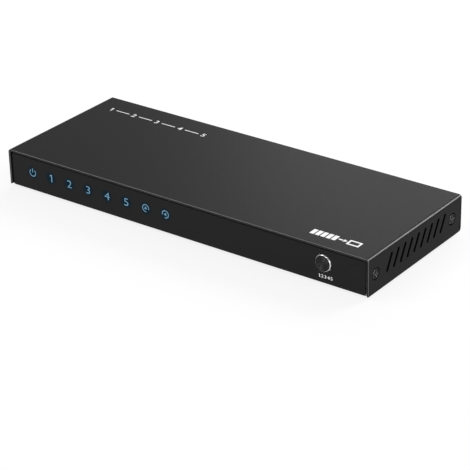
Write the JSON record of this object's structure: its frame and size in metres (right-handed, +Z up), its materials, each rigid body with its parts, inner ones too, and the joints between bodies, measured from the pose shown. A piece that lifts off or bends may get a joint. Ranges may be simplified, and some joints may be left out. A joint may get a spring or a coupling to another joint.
{
  "type": "hdmi switch box",
  "caption": "Slim black folded-steel video switch box: slanted vents in its sides, lit channel numbers and a round push button in front, a row of video sockets and a power inlet behind.",
  "frame": {"origin": "on the table, under the middle of the folded cover", "axes": "+Z up, the front panel faces -Y, +X to the right as seen from the front"},
  "size_m": [0.2, 0.0754, 0.019],
  "materials": {
    "case_paint": "satin black powder paint with a very fine grain on folded steel",
    "front_panel": "satin dark plastic with light-blue lit icons",
    "black_screw": "black oxide steel screw",
    "foot_rubber": "matt black rubber",
    "board": "green solder mask on glass fibre",
    "plain_steel": "zinc plated steel",
    "socket_shell": "nickel plated stamped steel",
    "socket_plastic": "black moulded plastic",
    "pin_metal": "nickel plated brass",
    "eye_plastic": "dark infra-red plastic",
    "button_metal": "dark anodised aluminium, spun face, bright edge",
    "plunger_plastic": "natural moulded plastic",
    "dome_steel": "spring steel",
    "switch_plastic": "black moulded plastic",
    "block_plastic": "black moulded plastic",
    "lamp": "clear blue cast resin",
    "chip": "black moulded chip with tinned leads",
    "thermal_pad": "soft grey silicone",
    "sink_aluminium": "extruded aluminium",
    "coil_ferrite": "dark moulded ferrite",
    "can_aluminium": "drawn aluminium can",
    "crystal_can": "nickel plated can"
  },
  "bodies": {
    "case": {"top_cover": "case_paint", "base_tray": "case_paint", "front_overlay": "front_panel", "cover_screws": "black_screw", "main_board": "board", "board_standoffs": "plain_steel", "board_screws": "plain_steel", "power_jack": "socket_plastic", "power_jack_pin": "pin_metal", "ir_receiver": "eye_plastic", "switch_dome": "dome_steel", "switch_housing": "switch_plastic", "led_light_block": "block_plastic", "switch_chip": "chip", "thermal_pad": "thermal_pad", "heat_sink": "sink_aluminium", "control_chip": "chip", "regulator_chip": "chip", "power_inductor": "coil_ferrite", "capacitor_left": "can_aluminium", "capacitor_right": "can_aluminium", "crystal": "crystal_can", "foot_front_left": "foot_rubber", "foot_front_right": "foot_rubber", "foot_rear_left": "foot_rubber", "foot_rear_right": "foot_rubber", "video_shell_out": "socket_shell", "video_tongue_out": "socket_plastic", "video_shell_1": "socket_shell", "video_tongue_1": "socket_plastic", "video_shell_2": "socket_shell", "video_tongue_2": "socket_plastic", "video_shell_3": "socket_shell", "video_tongue_3": "socket_plastic", "video_shell_4": "socket_shell", "video_tongue_4": "socket_plastic", "video_shell_5": "socket_shell", "video_tongue_5": "socket_plastic", "led_power": "lamp", "led_1": "lamp", "led_2": "lamp", "led_3": "lamp", "led_4": "lamp", "led_5": "lamp", "led_auto": "lamp", "led_return": "lamp"},
    "button": {"select_button": "button_metal", "switch_plunger": "plunger_plastic"}
  },
  "joints": [
    {"name": "select_press", "type": "slide", "parent": "case", "child": "button", "axis": [0, 1, 0], "range_m": [0, 0.0004], "stiffness_N_per_m": 400, "springref_m": -0.003, "deforming": ["switch_dome"]}
  ]
}
